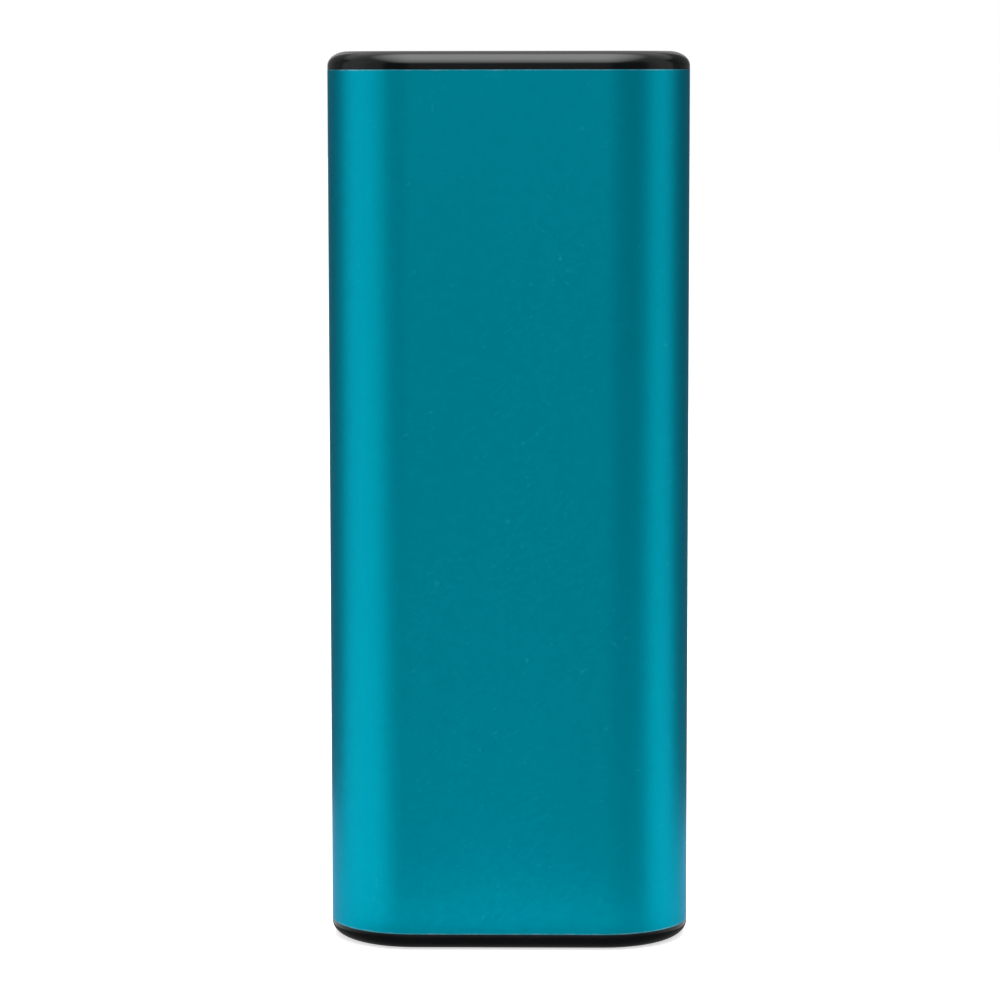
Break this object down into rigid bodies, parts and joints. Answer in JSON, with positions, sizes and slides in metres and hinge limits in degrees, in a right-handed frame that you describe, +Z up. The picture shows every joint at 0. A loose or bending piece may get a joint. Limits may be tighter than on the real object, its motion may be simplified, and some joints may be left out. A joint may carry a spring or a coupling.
{
  "type": "rechargeable hand warmer",
  "caption": "Upright hand warmer: flattened anodised tube with glossy end caps, cells, heating films, board, charging sockets and a sprung power button.",
  "frame": {"origin": "middle of the flat bottom of the lower cap, on the surface that the object stands on", "axes": "+Z up along the tube, +X along the wide side, -Y out of the front face"},
  "size_m": [0.042, 0.023, 0.104],
  "materials": {
    "anodised_shell": "satin teal anodising over a fine blasted surface",
    "black_gloss": "polished black moulding",
    "button_gloss": "polished black moulding",
    "white_plastic": "moulded",
    "black_plastic": "moulded",
    "clear_pipe": "milky clear moulding",
    "socket_steel": "tin plated stamping",
    "gold_contact": "gold flashed",
    "green_board": "solder mask",
    "screw_steel": "plain",
    "ferrite": "pressed iron powder",
    "can_aluminium": "drawn can",
    "cell_wrap": "heat shrink sleeve",
    "card_paper": "insulating card",
    "nickel": "rolled strip",
    "grey_foam": "closed cell foam",
    "lead_sleeve": "silicone sleeve",
    "grey_nylon": "moulded",
    "spreader_aluminium": "rolled sheet",
    "amber_film": "polyimide film"
  },
  "bodies": {
    "housing": {"shell_tube": "anodised_shell", "top_cap": "black_gloss", "bottom_cap": "black_gloss", "tact_switch": "black_plastic", "light_pipe": "clear_pipe", "usb_a_shell": "socket_steel", "usb_a_insulator": "black_plastic", "micro_usb_shell": "socket_steel", "micro_usb_insulator": "black_plastic", "main_board": "green_board", "board_screw_left": "screw_steel", "board_screw_right": "screw_steel", "power_inductor": "ferrite", "boost_chip": "black_plastic", "charge_chip": "black_plastic", "heater_transistor": "black_plastic", "output_capacitor": "can_aluminium", "battery_cell_left": "cell_wrap", "battery_cell_right": "cell_wrap", "cell_insulator_left": "card_paper", "cell_insulator_right": "card_paper", "nickel_strip_top": "nickel", "nickel_strip_bottom": "nickel", "foam_pad": "grey_foam", "thermistor": "lead_sleeve", "negative_lead": "lead_sleeve", "chassis_front": "grey_nylon", "chassis_rear": "grey_nylon", "heat_spreader_front": "spreader_aluminium", "heat_spreader_rear": "spreader_aluminium", "heater_film_front": "amber_film", "heater_film_rear": "amber_film", "indicator_led_1": "white_plastic", "usb_a_contact_1": "gold_contact", "indicator_led_2": "white_plastic", "usb_a_contact_2": "gold_contact", "indicator_led_3": "white_plastic", "usb_a_contact_3": "gold_contact", "indicator_led_4": "white_plastic", "usb_a_contact_4": "gold_contact"},
    "button": {"power_button": "button_gloss", "switch_plunger": "white_plastic"}
  },
  "joints": [
    {"name": "button_press", "type": "slide", "parent": "housing", "child": "button", "axis": [0, 0, 1], "range_m": [-0.0004, 0], "stiffness_N_per_m": 900, "springref_m": 0.0004}
  ]
}
